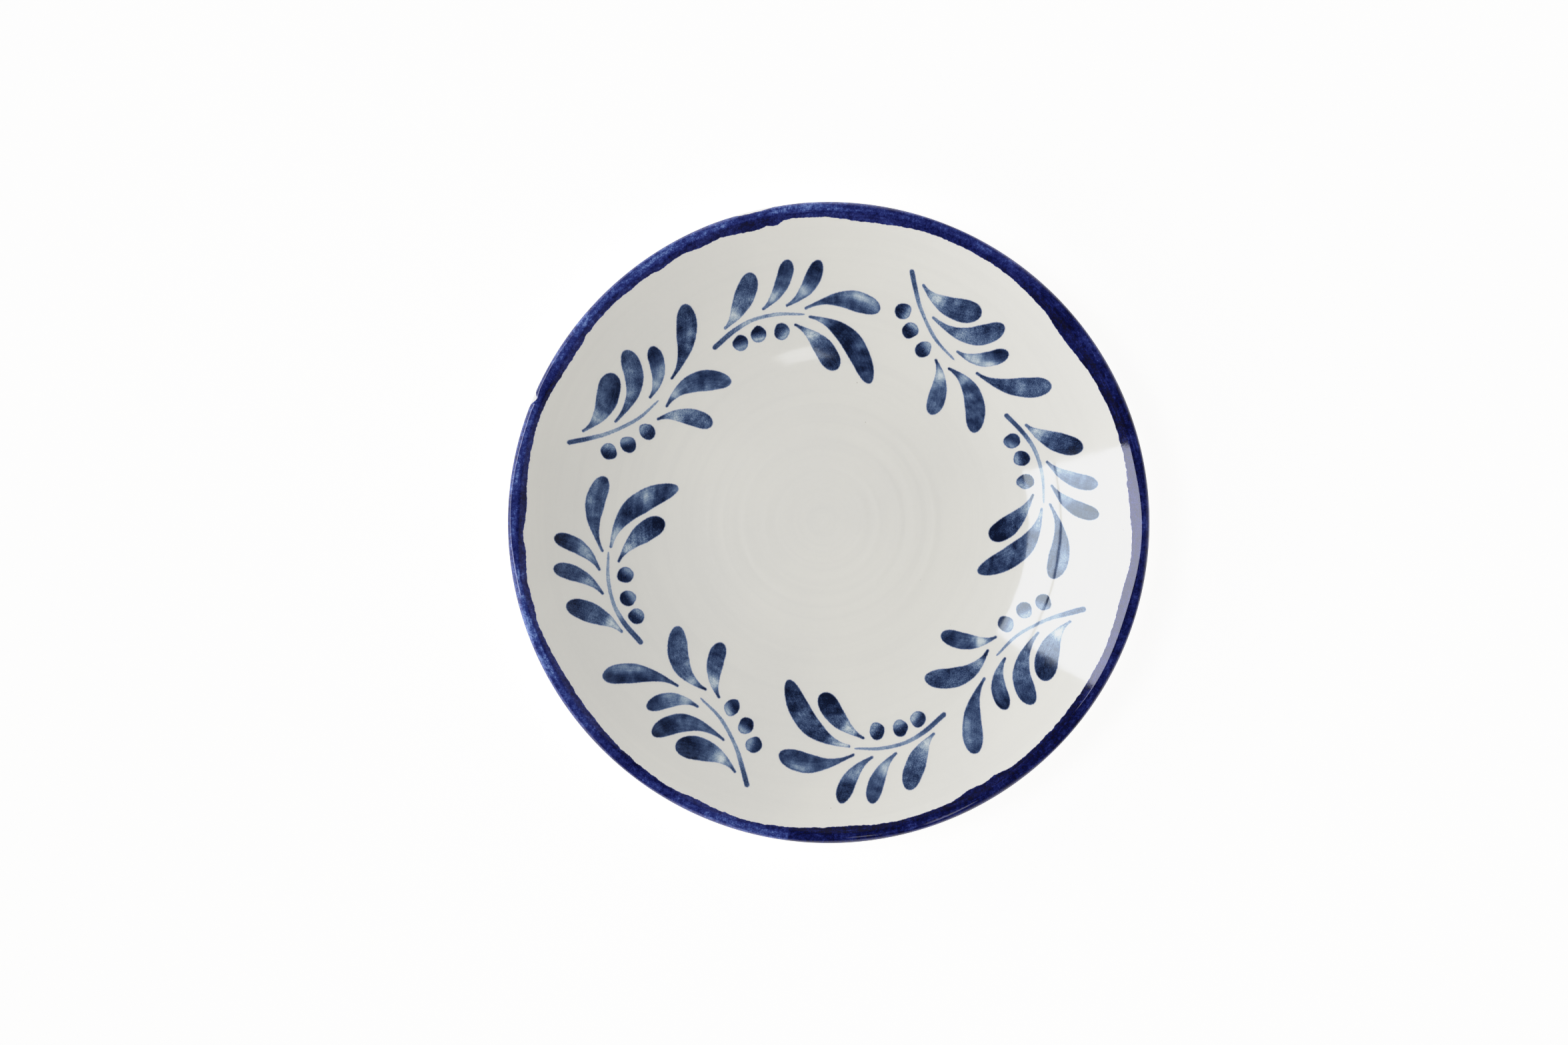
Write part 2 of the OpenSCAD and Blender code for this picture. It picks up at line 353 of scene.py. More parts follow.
# width of the band from the outside edge in plan: (angle in degrees, width in mm), with a loaded brush's swells and overlaps
WIDTHS = [(2, 8.7), (7, 9.0), (10, 8.4), (16, 8.3), (23, 8.3), (25, 8.7), (29, 8.9), (34, 9.9), (37.5, 10.3), (41, 9.6), (44, 8.4),
          (47, 8.2), (52, 7.3), (56, 6.8), (64, 6.7), (72, 6.7), (79, 7.8), (84, 8.2), (90, 7.0), (97, 6.6), (98.5, 7.0), (100.4, 8.8),
          (102, 8.0), (103.8, 9.0), (107.5, 8.2), (111, 7.3), (114, 8.0), (116, 7.8), (119, 6.8), (123, 7.9), (127, 6.8), (130, 7.1),
          (134.5, 6.4), (142, 6.7), (145, 7.6), (150, 7.6), (154, 6.8), (160, 6.1), (167, 6.8), (173, 7.6), (177, 8.4), (179.5, 7.9),
          (182, 6.7), (185.5, 7.6), (191, 6.3), (195.5, 6.7), (199, 6.0), (205, 6.8), (210.5, 7.4), (220, 7.0), (227.5, 6.3), (235, 5.9),
          (239, 5.4), (243, 6.5), (250, 5.9), (254.5, 5.4), (263, 6.3), (269, 7.2), (274.5, 7.7), (278, 7.0), (282, 6.7), (287.5, 6.8),
          (294, 7.0), (297.5, 8.5), (301, 7.8), (303, 8.5), (307, 7.0), (310, 7.2), (321, 7.6), (329, 7.7), (336, 7.8), (344.5, 8.8),
          (349.5, 8.4), (351, 7.6), (356.5, 7.7)]
wa = np.array([w[0] for w in WIDTHS], float)
ww = np.array([w[1] for w in WIDTHS], float)
wa = np.concatenate([wa[-3:] - 360, wa, wa[:3] + 360])
ww = np.concatenate([ww[-3:], ww, ww[:3]])
band_w = np.interp(deg, wa, ww)
box = np.array([1, 2, 3, 2, 1], float)
for _ in range(2):
    band_w = sum(np.roll(band_w, k - 2) * box[k] for k in range(5)) / box.sum()
band_w += ripple(12, range(40, 110), 0.09) + ripple(13, range(110, 230), 0.07) + ripple(14, range(230, 460), 0.035)
r_in = R_OUT - band_w
s_in = (RHO) * np.arcsin((r_in - FLAT) / (RHO - GLAZE))
# where the band stops on the outside of the lip, in degrees above the horizontal
out_deg = -52 + 8 * np.sin(3 * phi + 0.5) + 5 * np.sin(7 * phi + 2) + bumps([(103, 8, 98), (157.2, 1.5, 116), (128, 6, 20)]) + ripple(21, range(15, 60), 4) + ripple(22, range(60, 200), 3)
s_out = S_END + (math.pi / 2 + A_END - np.radians(out_deg)) * (LIP_R + GLAZE)
MARGIN = 0.6
NB = 46
u = np.linspace(0, 1, NB)[:, None]
s_grid = (s_in - MARGIN)[None, :] * (1 - u) + (s_out + MARGIN)[None, :] * u
e_in = s_grid - s_in[None, :]
e_out = s_out[None, :] - s_grid
proud = 0.02 + 0.09 * smooth(-0.3, 1.4, e_in) * smooth(-0.3, 1.4, e_out)
rt, zt = profile(s_grid, GLAZE + proud)
NU = 8
uu = np.linspace(1, 0, NU)[:, None]
s_low = (s_in - MARGIN)[None, :] * (1 - uu) + (s_out + MARGIN)[None, :] * uu
rb, zb = profile(s_low, np.full_like(s_low, GLAZE - 0.08))
rad = np.concatenate([rt, rb])
hgt = np.concatenate([zt, zb])
x = rad * np.cos(phi)[None, :]
y = rad * np.sin(phi)[None, :]
out_z = np.concatenate([profile(s_grid, GLAZE)[1], profile(s_low, GLAZE)[1]])
z = hgt + rim_wave(x, y, rad) + throwing(x, y) + sponged(x, y, out_z)
rows = NB + NU
co = np.stack([x, y, z], -1).reshape(-1, 3)
faces = []
for i in range(rows):
    j = (i + 1) % rows
    faces += [(i * BSEG + k, j * BSEG + k, j * BSEG + (k + 1) % BSEG, i * BSEG + (k + 1) % BSEG) for k in range(BSEG)]
band = new_object("rim_band_form", co, faces)
# as far as the lip the band shines exactly as the glaze under it does
which = np.zeros(rows * BSEG, bool)
which[: NB * BSEG] = (s_grid < S_END - 0.15).ravel()
which[: 4 * BSEG] = True
own_normals(band, face_normal(co[:, 0], co[:, 1]), which)
pad_i = np.repeat(e_in[:1] * 0 - 1, NU, 0)
set_float(band, "e_in", np.concatenate([e_in, pad_i]).ravel())
set_float(band, "e_out", np.concatenate([e_out, pad_i]).ravel())
s_all = np.concatenate([s_grid, s_low])
set_float(band, "crest", (s_all - S_END).ravel())
set_float(band, "turn", np.repeat((phi * 140)[None, :], rows, 0).ravel())
# where the colour lies pale and speckled on the crest, with a painted reflection that lightens the crest on the left
# from about 84 to 235 degrees, and where it has pooled dark
pale = 0.25 + 0.40 * (smooth(84, 100, deg) * (1 - smooth(200, 235, deg))) + bumps([(98, 12, 0.5), (118, 6, 0.35), (128, 4, 0.2), (140, 4, 0.2), (0, 6, 0.45), (-14, 5, 0.3), (32, 6, 0.35), (50, 10, 0.15), (62, 9, 0.25), (200, 7, 0.35), (170, 6, 0.2), (290, 7, 0.2), (258, 10, 0.25)])
pool_and_shade = bumps([(44, 5, 0.8), (28, 6, 0.7), (14, 8, 0.7), (-10, 12, 0.6), (-38, 9, 0.6), (-52, 7, 0.8), (-66, 6, 0.5), (-84, 9, 0.9), (104, 5, 0.6), (116, 5, 0.4), (155, 5, 0.6), (178, 6, 0.4), (233, 6, 0.5), (225, 5, 0.3)])
pool_and_shade = np.where((deg > 262.5) & (deg < 285), np.maximum(pool_and_shade, 0.9), pool_and_shade)
# painted shade: the colour is made darker all along the right hand side
right_side_shade = np.cos(np.radians(deg - 352))
pool_and_shade = pool_and_shade + 0.50 * smooth(-0.1, 0.55, right_side_shade)
set_float(band, "pale", np.repeat(np.clip(pale, 0, 1)[None, :], rows, 0).ravel())
set_float(band, "pool_and_shade", np.repeat(np.clip(pool_and_shade, 0, 1)[None, :], rows, 0).ravel())
# the map of the band: eight strips, one above the other, so that it has fine detail
STRIPS = 8
me = band.data
layer = me.uv_layers.new(name="OFBake")
uvv = np.zeros((len(me.loops), 2), np.float32)
vi = np.zeros(len(me.loops), np.int32)
me.loops.foreach_get("vertex_index", vi)
poly_of = np.repeat(np.arange(len(me.polygons)), 4)
seg_of = poly_of % BSEG
row_of = vi // BSEG
k_of = vi % BSEG
k_of = np.where((seg_of == BSEG - 1) & (k_of == 0), BSEG, k_of)  # the seam
strip = seg_of * STRIPS // BSEG
along = (k_of - strip * (BSEG // STRIPS)) / (BSEG / STRIPS)
face_row = poly_of // BSEG
seen_face = face_row < NB - 1
v_seen = row_of / (NB - 1)
uvv[:, 0] = 0.004 + along * 0.992
uvv[:, 1] = (strip + 0.03 + np.where(seen_face, v_seen * 0.86, 0.91 + 0.05 * ((row_of - NB + 1) % rows) / NU)) / STRIPS
layer.data.foreach_set("uv", uvv.ravel())

# ------------------------------------------------------------------ brush marks
# A mark's own axes: y is the distance from the plate's axis, x runs clockwise.
# leaf: root, pull point, tip, width, where it is widest, sharpness of the neck, then its tones:
# tone of the body, tone of the tip, tone of the root, and pale places (along, across, length, breadth, strength)
LEAVES_A = [
    dict(p=[(-32.8, 98.2), (-24.8, 104.0), (-18.2, 120.6)], w=8.9, full=0.72, neck=1.6, body=0.60, tip=0.76, root=0.56, pale=[(0.25, 0.1, 0.15, 1.6, 0.46)]),
    dict(p=[(-15.2, 104.4), (-5.5, 110.2), (-1.6, 124.2)], w=6.9, full=0.74, neck=1.4, body=0.62, tip=0.72, root=0.66, pale=[(0.33, 0.3, 0.13, 1.1, 0.33)]),
    dict(p=[(-4.6, 104.6), (6.6, 108.8), (11.8, 122.3)], w=7.0, full=0.72, neck=1.4, body=0.60, tip=0.80, root=0.62, pale=[(0.36, 0.3, 0.14, 1.1, 0.36)]),
    dict(p=[(3.4, 102.4), (20.8, 108.4), (35.4, 97.0)], w=8.8, full=0.72, neck=1.9, body=0.70, tip=0.72, root=0.66, pale=[(0.74, 0.50, 0.20, 0.45, 0.26)]),
    dict(p=[(4.7, 98.5), (24.0, 92.5), (27.0, 66.0)], w=9.5, full=0.62, neck=1.5, body=0.80, tip=0.80, root=0.55, pale=[(0.17, 0.0, 0.10, 1.4, 0.42), (0.66, 0.3, 0.07, 1.0, 0.22)]),
    dict(p=[(-2.0, 95.8), (9.0, 88.6), (12.9, 73.8)], w=9.2, full=0.74, neck=1.6, body=0.70, tip=0.95, root=0.80, pale=[(0.26, 0.0, 0.13, 1.5, 0.50)]),
]
STEM_A = [(-38.4, 90.5), (-29.0, 96.7), (-20.0, 100.3), (-9.0, 101.3), (2.6, 99.8)]
BERRIES_A = [(-27.0, 91.0, 3.4, 3.6, 125), (-18.7, 93.8, 3.4, 3.7, 95), (-8.4, 93.7, 3.4, 3.8, 120)]
LEAVES_B = [
    dict(p=[(-32.8, 111.7), (-20.6, 107.4), (-5.4, 118.6)], w=10.1, full=0.76, neck=1.6, body=0.66, tip=0.86, root=0.62, pale=[(0.30, 0.2, 0.15, 1.3, 0.50)]),
    dict(p=[(-20.5, 103.7), (0.7, 102.8), (5.5, 120.6)], w=8.6, full=0.72, neck=1.4, body=0.68, tip=0.78, root=0.64, pale=[(0.42, 0.2, 0.14, 0.8, 0.12)]),
    dict(p=[(-2.7, 99.0), (8.7, 99.8), (14.6, 112.8)], w=6.9, full=0.74, neck=1.3, body=0.54, tip=0.82, root=0.72, pale=[(0.30, 0.0, 0.12, 1.2, 0.20), (0.66, -0.6, 0.10, 0.4, 0.20)]),
    dict(p=[(9.8, 97.1), (24.9, 98.2), (38.3, 113.4)], w=8.9, full=0.74, neck=1.8, body=0.70, tip=0.68, root=0.72, pale=[(0.66, -0.4, 0.16, 0.4, 0.22)]),
    dict(p=[(-1.0, 91.0), (15.8, 94.0), (25.2, 76.0)], w=9.0, full=0.68, neck=1.3, body=0.64, tip=0.66, root=0.78, pale=[(0.22, 0.0, 0.09, 1.4, 0.34)]),
    dict(p=[(-7.8, 90.2), (2.0, 85.6), (5.4, 70.3)], w=7.6, full=0.75, neck=1.4, body=0.60, tip=0.76, root=0.76, pale=[(0.31, 0.0, 0.12, 1.4, 0.42)]),
]
STEM_B = [(-40.5, 113.0), (-34.0, 108.0), (-26.5, 102.8), (-14.0, 97.2), (-1.4, 95.3)]
BERRIES_B = [(-32.6, 97.5, 3.5, 3.7, 195), (-24.8, 93.0, 3.5, 3.7, 250), (-15.1, 90.3, 3.4, 3.8, 275)]
# each sprig is set down one by one: along, out, turn in degrees
SLIPS = [(-0.1, -7.8, 0.6), (3.0, -5.1, 2.4), (2.4, -5.1, -2.1), (3.8, -1.2, 0.0), (0.0, 0.0, 0.0), (0.0, 0.0, 0.0), (-1.9, -2.4, 1.2), (-0.4, -3.6, 3.0)]
FIRST = 98.0


def bezier(p, t):
    p = [np.array(q, float) for q in p]
    t = np.asarray(t, float)[..., None]
    if len(p) == 3:
        return (1 - t) ** 2 * p[0] + 2 * t * (1 - t) * p[1] + t * t * p[2]
    # a smooth curve through five points
    n = len(p) - 1
    out = np.zeros(t.shape[:-1] + (2,))
    tt = np.clip(t[..., 0], 0, 1) * n
    i = np.clip(np.floor(tt).astype(int), 0, n - 1)
    f = (tt - i)[..., None]
    P = np.array([p[0] * 2 - p[1]] + p + [p[-1] * 2 - p[-2]])
    a, b, c, d = P[i], P[i + 1], P[i + 2], P[i + 3]
    out = 0.5 * ((2 * b) + (c - a) * f + (2 * a - 5 * b + 4 * c - d) * f**2 + (3 * b - a - 3 * c + d) * f**3)
    out += (t - np.clip(t, 0, 1)) * n * (np.array(p[-1]) - np.array(p[-2])) * (t > 1)
    out += (t - np.clip(t, 0, 1)) * n * (np.array(p[1]) - np.array(p[0])) * (t < 0)
    return out


STUB = 0.66  # half the width of the brush's first touch, in mm


def swell(t, half, full, neck):
    """Half width along a leaf, in mm"""
    t = np.clip(t, 0, 1)
    a = np.sin(np.pi / 2 * np.clip(t / full, 0, 1)) ** (neck + 0.25)
    b = np.sqrt(np.clip(1 - np.clip((t - full) / (1 - full), 0, 1) ** 2.6, 0, 1))
    return np.where(t < full, STUB + (half - STUB) * a, half * b)


M = 0.70  # white margin round the colour, in mm


class Marks:
    """Collects thin closed solids on the face, with their own values for the paint."""

    def __init__(self, name):
        self.name = name
        self.co, self.faces, self.top = [], [], []
        self.at = {k: [] for k in ("edge", "tone", "run", "side", "seed")}
        self.uv = []
        self.n = 0

    def add(self, px, py, edge, tone, run, side, seed):
        """px, py are grids of points on the plate; the outer ring of the grid is the mark's own boundary"""
        a, b = px.shape
        z = face_height(px, py)
        lift = 0.045
        up = np.stack([px, py, z + lift], -1).reshape(-1, 3)
        dn = np.stack([px, py, z - 0.10], -1).reshape(-1, 3)
        n0, m = self.n, a * b
        idx = np.arange(m).reshape(a, b)
        q = [(idx[i, j], idx[i + 1, j], idx[i + 1, j + 1], idx[i, j + 1]) for i in range(a - 1) for j in range(b - 1)]
        # which way round is up
        v1 = up[q[0][1]] - up[q[0][0]]
        v2 = up[q[0][3]] - up[q[0][0]]
        flip = (v1[0] * v2[1] - v1[1] * v2[0]) < 0
        rim = list(idx[0, :]) + list(idx[1:, -1]) + list(idx[-1, -2::-1]) + list(idx[-2:0:-1, 0])
        fs = []
        for f in q:
            t = tuple(n0 + int(k) for k in f)
            d = tuple(n0 + m + int(k) for k in f)
            fs.append(t[::-1] if flip else t)
            fs.append(d if flip else d[::-1])
        for k in range(len(rim)):
            i, j = int(rim[k]), int(rim[(k + 1) % len(rim)])
            f = (n0 + i, n0 + j, n0 + m + j, n0 + m + i)
            fs.append(f if flip else f[::-1])
        self.co += [up, dn]
        self.faces += fs
        self.top += [np.ones(m, bool), np.zeros(m, bool)]
        for k, v in zip(("edge", "tone", "run", "side", "seed"), (edge, tone, run, side, np.full_like(edge, seed))):
            self.at[k] += [v.ravel(), (v if k != "edge" else np.full_like(edge, -1.0)).ravel()]
        self.n += 2 * m

    def finish(self):
        co = np.concatenate(self.co)
        ob = new_object(self.name, co, self.faces)
        top = np.concatenate(self.top)
        own_normals(ob, face_normal(co[:, 0], co[:, 1]), top)
        for k, v in self.at.items():
            set_float(ob, k, np.concatenate(v))
        lo, hi = co[:, :2].min(0), co[:, :2].max(0)
        uv = 0.02 + (co[:, :2] - lo) / (hi - lo).max() * 0.90
        small = 0.94 + (co[:, :2] - lo) / (hi - lo).max() * 0.05
        uv = np.where(top[:, None], uv, small)
        set_uv(ob, uv)
        return ob


def to_plate(i, q):
    """From a sprig's own axes to the plate's."""
    a = math.radians(FIRST - 45 * i - 90)
    dx, dy, rot = SLIPS[i]
    t = math.radians(rot)
    qx, qy = q[..., 0], q[..., 1] - 100
    x1 = qx * math.cos(t) + qy * math.sin(t) + dx
    y1 = -qx * math.sin(t) + qy * math.cos(t) + 100 + dy
    return x1 * math.cos(a) - y1 * math.sin(a), x1 * math.sin(a) + y1 * math.cos(a)


def distance_to(outline, q):
    """Distance from each point of q to a closed outline, in mm"""
    a = outline
    b = np.roll(outline, -1, 0)
    ab = b - a
    out = np.full(q.shape[0], 1e9)
    for k in range(0, len(a)):
        ap = q - a[k]
        t = np.clip((ap @ ab[k]) / max(ab[k] @ ab[k], 1e-9), 0, 1)
        d = np.hypot(*(ap - t[:, None] * ab[k]).T)
        out = np.minimum(out, d)
    return out


def stroke(marks, i, p, half, tone_of, seed, rng, step=0.55, nside=15, wobble=0.03):
    """One brush stroke. half(t) is its half width in mm and tone_of(t, s) its tone from 0, pale, to 1, dark."""
    c = bezier(p, np.linspace(0, 1, 60))
    length = np.hypot(*np.diff(c, axis=0).T).sum()
    h0 = float(half(np.array(0.0)))
    ms, mt = (h0 + M) / length, M / length
    n = max(14, int(length / step))
    t = np.linspace(0, 1, n)
    t = np.concatenate([-ms * np.array([1, 0.93, 0.75, 0.5, 0.25]), t[:-1], 1 - (1 - t[-2]) * np.array([0.7, 0.45, 0.25, 0.1, 0.0]), 1 + mt * np.array([0.35, 0.7, 1])])
    dt = 1e-3
    # a hand never draws the two sides quite the same
    ph = rng.uniform(0, TAU, 4)
    side_of = lambda t, sgn: 1 + wobble * (np.sin(TAU * 1.2 * t + ph[0 if sgn > 0 else 1]) + 0.5 * np.sin(TAU * 3.3 * t + ph[2 if sgn > 0 else 3]))

    def frame_at(t):
        q = bezier(p, t)
        d = bezier(p, t + dt) - bezier(p, t - dt)
        d /= np.linalg.norm(d, axis=-1, keepdims=True)
        return q, d, np.stack([-d[..., 1], d[..., 0]], -1)

    cc, hd, nm = frame_at(t)
    tc = np.clip(t, 0, 1)
    hw = half(tc)
    full = np.where(t < 0, np.sqrt(np.clip((h0 + M) ** 2 - (t * length) ** 2, 0.003, None)), np.where(t > 1, M * np.sqrt(np.clip(1 - ((t - 1) / mt) ** 2, 0.0025, 1)), hw + M))
    s = np.linspace(-1, 1, nside)
    grow = np.where(s[None, :] > 0, side_of(tc, 1)[:, None], side_of(tc, -1)[:, None])
    reach = full[:, None] * np.where((t > 0)[:, None] & (t < 1)[:, None], grow, 1)
    q = cc[:, None, :] + nm[:, None, :] * (s[None, :, None] * reach[:, :, None])
    # the painted outline: up one side, round the tip, and down the other to the round first touch
    to = np.unique(np.concatenate([np.linspace(0, 1, 70), 1 - (1 - np.linspace(0.9, 1, 14)) ** 1.5 * 3.0, [0.997]]).clip(0, 1))
    co_, ho, no = frame_at(to)
    a = co_ + no * (half(to) * side_of(to, 1))[:, None]
    b = (co_ - no * (half(to) * side_of(to, -1))[:, None])[::-1]
    th = np.linspace(-np.pi / 2, np.pi / 2, 9)[1:-1]
    cap = co_[0] - ho[0] * (h0 * np.cos(th))[:, None] + no[0] * (h0 * np.sin(th))[:, None]
    outline = np.concatenate([a, b, cap])
    flat = q.reshape(-1, 2)
    d = distance_to(outline, flat)
    inside = in_polygon(outline, flat)
    edge = np.where(inside, d, -d).reshape(q.shape[:2])
    T = np.repeat(tc[:, None], nside, 1)
    S = s[None, :] * reach / np.maximum(hw, 0.5)[:, None]
    tone = tone_of(T, np.clip(S, -1.2, 1.2))
    x, y = to_plate(i, q)
    marks.add(x, y, edge, tone, np.repeat((t * length)[:, None], nside, 1), s[None, :] * reach, seed)


def in_polygon(poly, q):
    x, y = q[:, 0], q[:, 1]
    inside = np.zeros(len(q), bool)
    px, py = poly[:, 0], poly[:, 1]
    qx, qy = np.roll(px, -1), np.roll(py, -1)
    for k in range(len(poly)):
        hit = (py[k] > y) != (qy[k] > y)
        xs = (qx[k] - px[k]) * (y - py[k]) / (qy[k] - py[k] + 1e-12) + px[k]
        inside ^= hit & (x < xs)
    return inside


def leaf_tone(L, rng):
    body, tip, root = L["body"], L["tip"], L["root"]
    j = rng.normal(0, 1, 8)

    def f(t, s):
        v = body + 0.04 * j[0]
        v = v + (tip + 0.04 * j[1] - body) * smooth(0.50, 0.90, t + 0.06 * s * j[2])
        v = v + (root - body) * (1 - smooth(0.04, 0.16 + 0.02 * j[3], t))
        for (a, b, la, lb, k) in L["pale"]:
            v = v - (k + 0.05 * j[4]) * np.exp(-(np.abs((t - a - 0.02 * j[5]) / la) ** 2.4) - (((s - b - 0.1 * j[6]) / lb) ** 2))
        v = v + 0.04 * j[7] * np.sin(5 * t + 2 * s)
        return np.clip(v, 0, 1)

    return f


made = {}
for i in range(8):
    odd = i % 2 == 0
    rng = np.random.default_rng(100 + i)
    m = Marks(f"sprig_{i + 1}_leaves_paint")
    for k, L in enumerate(LEAVES_A if odd else LEAVES_B):
        half = lambda t, L=L: swell(t, L["w"] / 2, L["full"], L["neck"])
        stroke(m, i, L["p"], half, leaf_tone(L, rng), i * 6 + k, rng)
    made[f"sprig_{i + 1}_leaves"] = m.finish()

    m = Marks(f"sprig_{i + 1}_stem_paint")
    p = STEM_A if odd else STEM_B
    wide = 1.15 + 0.05 * rng.normal()
    half = lambda t: (0.76 + (wide - 0.76) * (1 - smooth(0.10, 0.60, t)) - 0.30 * smooth(0.70, 1, t)) * np.sqrt(np.clip(1 - (np.clip(t - 0.955, 0, 1) / 0.0452) ** 2, 0.0025, 1))
    pale_tone = 0.37 + 0.04 * rng.normal()
    tone = lambda t, s: 0.68 + (pale_tone - 0.68) * smooth(0.18, 0.42, t)
    stroke(m, i, p, half, tone, 60 + i, rng, step=0.45, nside=9, wobble=0.04)
    made[f"sprig_{i + 1}_stem"] = m.finish()

    m = Marks(f"sprig_{i + 1}_berries_paint")
    for k, (bx, by, ra, rb_, dark_a) in enumerate(BERRIES_A if odd else BERRIES_B):
        jit = rng.normal(0, 1, 6)
        rings = np.concatenate([[0.02], np.linspace(0.15, 1, 9), [1 + M * 0.5 / ra, 1 + M / ra]])
        an = np.arange(49) * TAU / 48
        RR, AA = np.meshgrid(rings, an, indexing="ij")
        wob = 1 + 0.03 * np.sin(2 * AA + jit[0]) + 0.025 * np.sin(3 * AA + jit[1] * 2) + 0.02 * np.cos(4 * AA + jit[2]) + 0.012 * np.sin(5 * AA + jit[2] * 3)
        qx = bx + ra * RR * wob * np.cos(AA)
        qy = by + rb_ * RR * wob * np.sin(AA)
        edge = (1 - RR) * (ra + rb_) / 2 * wob
        da = math.radians(dark_a + 14 * jit[3])
        ux, uy = RR * np.cos(AA), RR * np.sin(AA)
        side = ux * math.cos(da) + uy * math.sin(da)
        deep = 0.90 + 0.04 * jit[4]
        light = 0.36 + 0.05 * jit[5]
        tone = np.clip(light + (deep - light) * smooth(-0.75, 0.35, side) + 0.14 * smooth(0.72, 1.0, RR) * (side < 0.3), 0, 1)
        x, y = to_plate(i, np.stack([qx, qy], -1))
        m.add(x, y, edge, tone, ux * ra, uy * rb_, 80 + i * 3 + k)
    made[f"sprig_{i + 1}_berries"] = m.finish()


# ------------------------------------------------------------------ materials
def lin(r, g, b):
    f = lambda c: c / 255 / 12.92 if c / 255 <= 0.04045 else ((c / 255 + 0.055) / 1.055) ** 2.4
    return (f(r), f(g), f(b), 1.0)


class N:
    """Small helper that writes shader nodes"""

    def __init__(self, name):
        self.m = bpy.data.materials.new(name)
        self.m.use_nodes = True
        self.t = self.m.node_tree
        self.t.nodes.clear()
        self.out = self.t.nodes.new("ShaderNodeOutputMaterial")
        self.co = self.t.nodes.new("ShaderNodeTexCoord").outputs["Object"]

    def put(self, socket, v):
        if isinstance(v, bpy.types.NodeSocket):
            self.t.links.new(v, socket)
        else:
            socket.default_value = v

    def math(self, op, a, b=0.0, c=None, clamp=False):
        n = self.t.nodes.new("ShaderNodeMath")
        n.operation = op
        n.use_clamp = clamp
        self.put(n.inputs[0], a)
        self.put(n.inputs[1], b)
        if c is not None:
            self.put(n.inputs[2], c)
        return n.outputs[0]

    def step(self, x, a, b, lo=0.0, hi=1.0):
        n = self.t.nodes.new("ShaderNodeMapRange")
        n.interpolation_type = "SMOOTHSTEP"
        for k, v in ((0, x), (1, a), (2, b), (3, lo), (4, hi)):
            self.put(n.inputs[k], v)
        return n.outputs[0]

    def noise(self, scale, detail=2.0, rough=0.5, vec=None, distort=0.0):
        n = self.t.nodes.new("ShaderNodeTexNoise")
        n.inputs["Scale"].default_value = scale
        n.inputs["Detail"].default_value = detail
        n.inputs["Roughness"].default_value = rough
        n.inputs["Distortion"].default_value = distort
        self.put(n.inputs["Vector"], vec if vec is not None else self.co)
        return n.outputs["Fac"]

    def voronoi(self, scale, vec=None, feature="F1"):
        n = self.t.nodes.new("ShaderNodeTexVoronoi")
        n.feature = feature
        n.inputs["Scale"].default_value = scale
        self.put(n.inputs["Vector"], vec if vec is not None else self.co)
        return n.outputs["Distance"]

    def attr(self, name):
        n = self.t.nodes.new("ShaderNodeAttribute")
        n.attribute_name = name
        return n.outputs["Fac"]

    def vec(self, x, y, z):
        n = self.t.nodes.new("ShaderNodeCombineXYZ")
        for k, v in enumerate((x, y, z)):
            self.put(n.inputs[k], v)
        return n.outputs[0]

    def xyz(self):
        n = self.t.nodes.new("ShaderNodeSeparateXYZ")
        self.put(n.inputs[0], self.co)
        return n.outputs

    def mix(self, f, a, b):
        n = self.t.nodes.new("ShaderNodeMix")
        n.data_type = "RGBA"
        n.clamp_factor = True
        self.put(n.inputs[0], f)
        self.put(n.inputs[6], a)
        self.put(n.inputs[7], b)
        return n.outputs[2]

    def ramp(self, f, stops):
        n = self.t.nodes.new("ShaderNodeValToRGB")
        e = n.color_ramp.elements
        while len(e) > 1:
            e.remove(e[-1])
        e[0].position, e[0].color = stops[0]
        for p, c in stops[1:]:
            k = e.new(p)
            k.color = c
        self.put(n.inputs[0], f)
        return n.outputs[0]

    def bump(self, height, distance, strength=1.0):
        n = self.t.nodes.new("ShaderNodeBump")
        n.inputs["Strength"].default_value = strength
        n.inputs["Distance"].default_value = distance
        self.put(n.inputs["Height"], height)
        return n.outputs[0]

    def shade(self, color, rough, normal=None, spec=0.5, tint=(1, 1, 1), ior=1.5):
        p = self.t.nodes.new("ShaderNodeBsdfPrincipled")
        self.put(p.inputs["Base Color"], color)
        self.put(p.inputs["Roughness"], rough)
        p.inputs["IOR"].default_value = ior
        p.inputs["Specular IOR Level"].default_value = spec
        p.inputs["Specular Tint"].default_value = (*tint, 1)
        if normal is not None:
            self.put(p.inputs["Normal"], normal)
        self.t.links.new(p.outputs[0], self.out.inputs[0])
        return self.m


WHITE = (0.735, 0.725, 0.690, 1)


